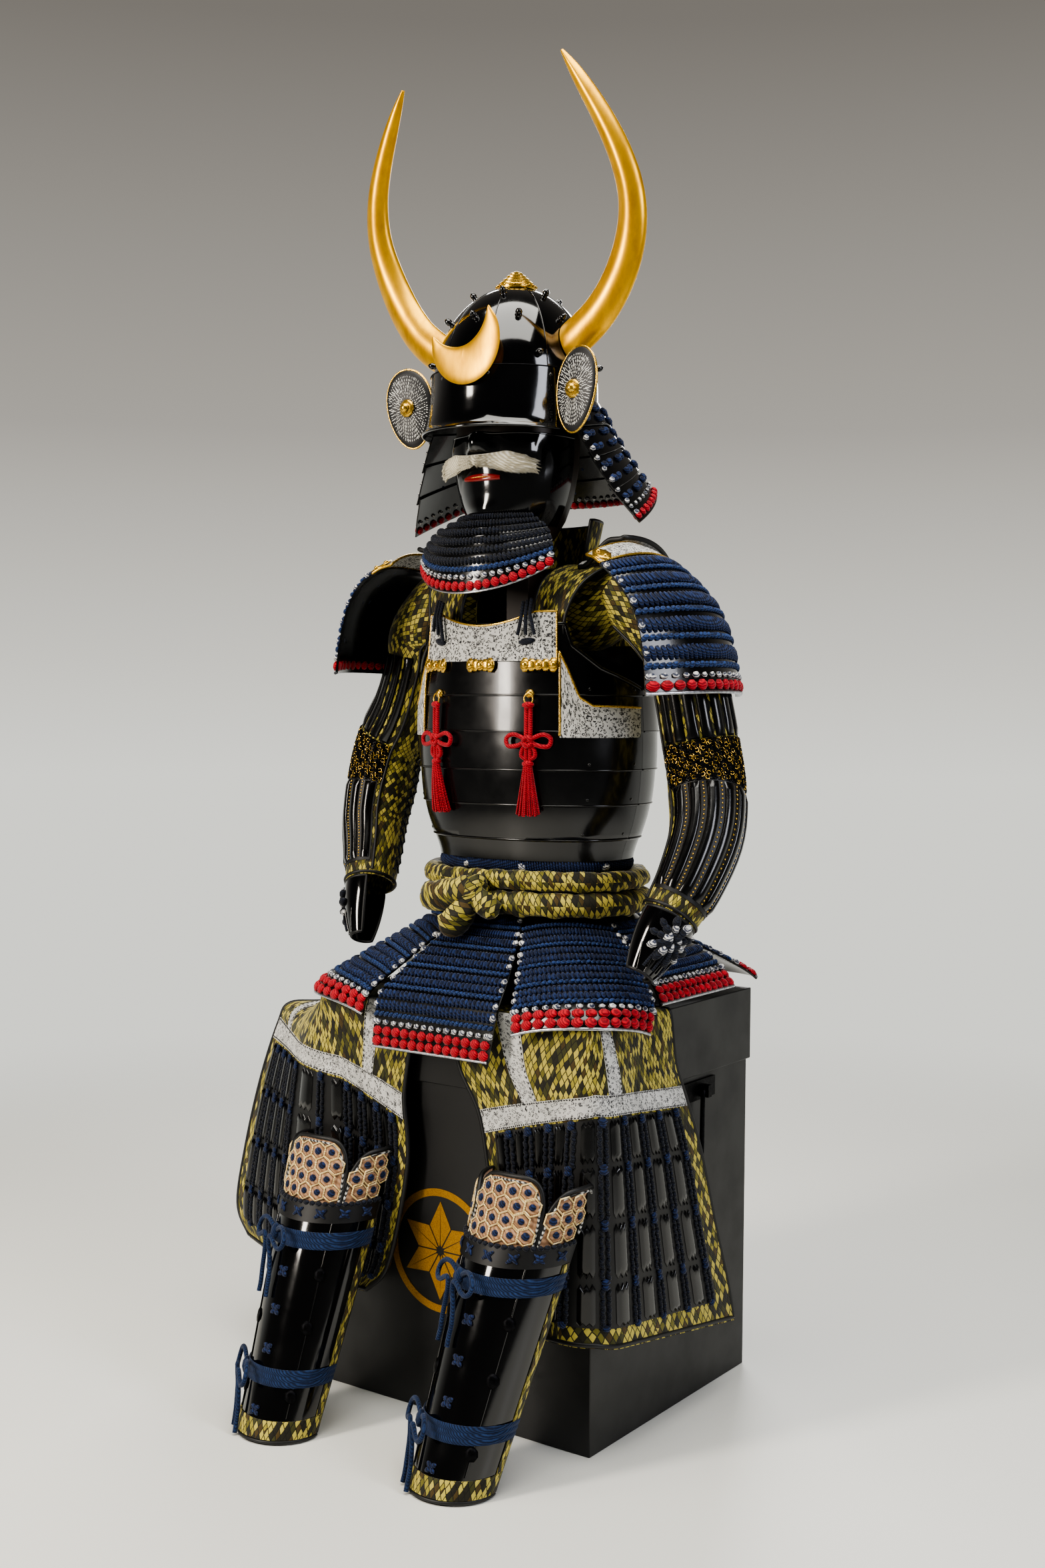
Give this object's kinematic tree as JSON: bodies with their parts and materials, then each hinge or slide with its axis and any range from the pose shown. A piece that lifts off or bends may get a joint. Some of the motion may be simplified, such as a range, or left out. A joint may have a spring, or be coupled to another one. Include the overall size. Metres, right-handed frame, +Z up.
{
  "type": "samurai armour seated on an armour chest",
  "caption": "Laced samurai armour with horned helmet, half mask, sleeves and shin guards, set on a plain stand on its lidded armour chest.",
  "frame": {"origin": "centre of the armour chest's underside, on the floor", "axes": "+Z up; the armour faces -Y; +X is the armour's left side"},
  "size_m": [0.7526, 0.6258, 1.7052],
  "materials": {
    "black_lacquer": "gloss black lacquer on iron",
    "satin_lacquer": "satin black lacquer on iron",
    "chest_lacquer": "satin black lacquer on wood",
    "gold": "satin gold",
    "iron": "blackened iron",
    "brocade": "olive and gold brocade",
    "lacing": "dark blue braid lacing",
    "red_silk": "red silk braid",
    "printed_leather": "white leather printed in black",
    "kikko": "beige quilted hexagons",
    "fur": "cream fur",
    "cotton": "blue cotton cord",
    "stand_wood": "dark oiled wood"
  },
  "bodies": {
    "armour": {"chest_body": "chest_lacquer", "chest_lid": "chest_lacquer", "handle_plate_left": "iron", "handle_plate_right": "iron", "handle_left": "iron", "stand": "stand_wood", "helmet_bowl": "black_lacquer", "helmet_visor": "black_lacquer", "helmet_finial": "gold", "horn_left": "gold", "horn_right": "gold", "crescent": "gold", "turnback_left": "printed_leather", "turnback_right": "printed_leather", "neck_lame_1": "black_lacquer", "neck_lame_2": "black_lacquer", "neck_lame_3": "black_lacquer", "neck_lame_4": "black_lacquer", "mask": "black_lacquer", "moustache": "fur", "throat_upper": "lacing", "throat_lower": "lacing", "collar": "brocade", "cuirass_front": "satin_lacquer", "cuirass_back": "satin_lacquer", "breast_plate": "printed_leather", "strap_left": "brocade", "strap_right": "brocade", "wing_left": "brocade", "wing_right": "brocade", "tassel_left": "red_silk", "tassel_right": "red_silk", "crown_left": "printed_leather", "crown_right": "printed_leather", "sode_left": "lacing", "sode_right": "lacing", "sleeve_left": "brocade", "sleeve_right": "brocade", "hand_left": "black_lacquer", "hand_right": "black_lacquer", "tasset_front": "lacing", "tasset_front_left": "lacing", "tasset_front_right": "lacing", "tasset_side_left": "lacing", "tasset_side_right": "lacing", "tasset_back_left": "lacing", "tasset_back_right": "lacing", "belt": "brocade", "belt_knot": "brocade", "apron_left": "brocade", "apron_right": "brocade", "shin_left": "black_lacquer", "shin_right": "black_lacquer", "knee_left": "kikko", "knee_right": "kikko", "tie_left_upper": "cotton", "tie_left_lower": "cotton", "tie_right_upper": "cotton", "tie_right_lower": "cotton"},
    "handle": {"handle_right": "iron"}
  },
  "joints": [
    {"name": "handle_swing", "type": "hinge", "parent": "armour", "child": "handle", "pos_m": [-0.2198, 0, 0.405], "axis": [0, 1, 0], "range_deg": [0, 90]}
  ]
}
